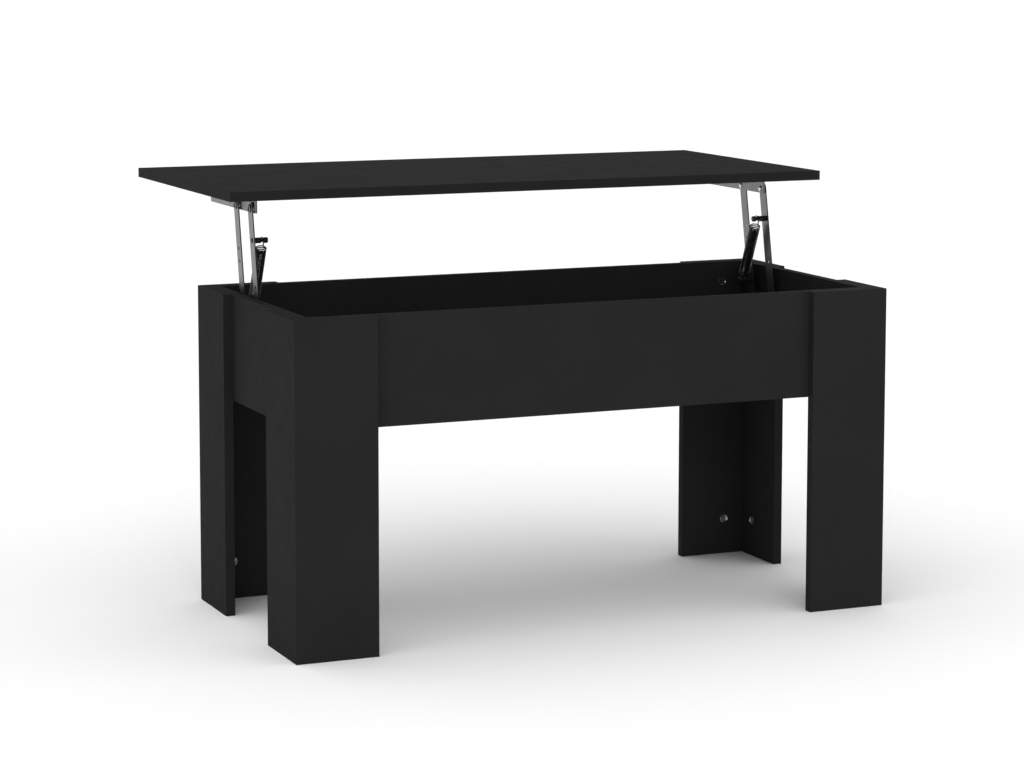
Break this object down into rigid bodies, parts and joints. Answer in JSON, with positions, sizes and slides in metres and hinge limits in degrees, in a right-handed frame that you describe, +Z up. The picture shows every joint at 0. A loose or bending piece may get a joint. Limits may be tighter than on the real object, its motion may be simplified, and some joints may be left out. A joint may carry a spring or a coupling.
{
  "type": "lift top coffee table",
  "caption": "Coffee table on corner panel legs, with a storage box and a top that swings up and back, level, on parallel arms with springs.",
  "frame": {"origin": "on the floor, under the middle of the table's outline with its top raised", "axes": "+X along the table's length to the right, +Y the way the top swings when it is raised, +Z up"},
  "size_m": [1.01, 0.733, 0.671],
  "materials": {
    "black_board": "matt black melamine with fine grain",
    "grey_steel": "satin sheet steel",
    "zinc_fittings": "bright zinc plate",
    "spring_steel": "dark oiled wire",
    "black_steel": "black oxide",
    "beech": "raw beech"
  },
  "bodies": {
    "frame": {"front_wall": "black_board", "back_wall": "black_board", "left_wall": "black_board", "right_wall": "black_board", "box_floor": "black_board", "front_left_leg_face": "black_board", "front_left_leg_side": "black_board", "front_right_leg_face": "black_board", "front_right_leg_side": "black_board", "back_left_leg_face": "black_board", "back_left_leg_side": "black_board", "back_right_leg_face": "black_board", "back_right_leg_side": "black_board", "leg_cams": "zinc_fittings", "leg_mitre_connectors": "zinc_fittings", "leg_screws": "zinc_fittings", "wall_cams": "zinc_fittings", "wall_cam_bolts": "zinc_fittings", "wall_dowels": "beech", "floor_cams": "zinc_fittings", "floor_cam_bolts": "zinc_fittings", "left_base_bracket": "grey_steel", "left_base_screws": "zinc_fittings", "left_stop_pin": "zinc_fittings", "left_base_rivets": "zinc_fittings", "left_base_washers": "zinc_fittings", "right_base_bracket": "grey_steel", "right_base_screws": "zinc_fittings", "right_stop_pin": "zinc_fittings", "right_base_rivets": "zinc_fittings", "right_base_washers": "zinc_fittings"},
    "top": {"top_board": "black_board", "left_top_bracket": "grey_steel", "left_top_rivets": "zinc_fittings", "left_top_washers": "zinc_fittings", "left_top_screws": "zinc_fittings", "right_top_bracket": "grey_steel", "right_top_rivets": "zinc_fittings", "right_top_washers": "zinc_fittings", "right_top_screws": "zinc_fittings"},
    "left_front_arm": {"left_front_arm": "grey_steel", "left_upper_stud": "black_steel"},
    "left_rear_arm": {"left_rear_arm": "grey_steel", "left_lower_stud": "black_steel"},
    "left_lower_hook": {"left_lower_hook": "spring_steel"},
    "left_upper_hook": {"left_upper_hook": "spring_steel"},
    "left_spring_coil": {"left_spring_coil": "spring_steel"},
    "right_front_arm": {"right_front_arm": "grey_steel", "right_upper_stud": "black_steel"},
    "right_rear_arm": {"right_rear_arm": "grey_steel", "right_lower_stud": "black_steel"},
    "right_lower_hook": {"right_lower_hook": "spring_steel"},
    "right_upper_hook": {"right_upper_hook": "spring_steel"},
    "right_spring_coil": {"right_spring_coil": "spring_steel"}
  },
  "joints": [
    {"name": "lift", "type": "hinge", "parent": "frame", "child": "left_front_arm", "pos_m": [-0.4456, -0.0822, 0.41479], "axis": [1, 0, 0], "range_deg": [0, 82.51]},
    {"name": "top_keeps_level", "type": "hinge", "parent": "left_front_arm", "child": "top", "pos_m": [-0.4456, -0.03899, 0.6371], "axis": [1, 0, 0], "range_deg": [-82.51, 0]},
    {"name": "left_rear_arm_turn", "type": "hinge", "parent": "frame", "child": "left_rear_arm", "pos_m": [-0.4456, -0.0135, 0.41479], "axis": [1, 0, 0], "range_deg": [0, 82.51]},
    {"name": "right_front_arm_turn", "type": "hinge", "parent": "frame", "child": "right_front_arm", "pos_m": [0.4456, -0.0822, 0.41479], "axis": [1, 0, 0], "range_deg": [0, 82.51]},
    {"name": "right_rear_arm_turn", "type": "hinge", "parent": "frame", "child": "right_rear_arm", "pos_m": [0.4456, -0.0135, 0.41479], "axis": [1, 0, 0], "range_deg": [0, 82.51]},
    {"name": "left_lower_hook_turn", "type": "hinge", "parent": "left_rear_arm", "child": "left_lower_hook", "pos_m": [-0.43, -0.00062, 0.48105], "axis": [1, 0, 0], "range_deg": [-28, 0]},
    {"name": "left_upper_hook_turn", "type": "hinge", "parent": "left_front_arm", "child": "left_upper_hook", "pos_m": [-0.43, -0.04852, 0.58804], "axis": [1, 0, 0], "range_deg": [-28, 0]},
    {"name": "left_spring_stretch", "type": "slide", "parent": "left_upper_hook", "child": "left_spring_coil", "axis": [0, 0.4086, -0.9127], "range_m": [0, 0.0583], "deforming": ["left_spring_coil"]},
    {"name": "right_lower_hook_turn", "type": "hinge", "parent": "right_rear_arm", "child": "right_lower_hook", "pos_m": [0.43, -0.00062, 0.48105], "axis": [1, 0, 0], "range_deg": [-28, 0]},
    {"name": "right_upper_hook_turn", "type": "hinge", "parent": "right_front_arm", "child": "right_upper_hook", "pos_m": [0.43, -0.04852, 0.58804], "axis": [1, 0, 0], "range_deg": [-28, 0]},
    {"name": "right_spring_stretch", "type": "slide", "parent": "right_upper_hook", "child": "right_spring_coil", "axis": [0, 0.4086, -0.9127], "range_m": [0, 0.0583], "deforming": ["right_spring_coil"]}
  ],
  "couplings": [
    {"joint": "top_keeps_level", "follows": "lift", "ratio": -1},
    {"joint": "left_rear_arm_turn", "follows": "lift", "ratio": 1},
    {"joint": "right_front_arm_turn", "follows": "lift", "ratio": 1},
    {"joint": "right_rear_arm_turn", "follows": "lift", "ratio": 1},
    {"joint": "left_lower_hook_turn", "follows": "lift", "ratio": -0.33919},
    {"joint": "left_upper_hook_turn", "follows": "lift", "ratio": -0.33919},
    {"joint": "left_spring_stretch", "follows": "lift", "m_per_rad": 0.04047},
    {"joint": "right_lower_hook_turn", "follows": "lift", "ratio": -0.33919},
    {"joint": "right_upper_hook_turn", "follows": "lift", "ratio": -0.33919},
    {"joint": "right_spring_stretch", "follows": "lift", "m_per_rad": 0.04047}
  ]
}
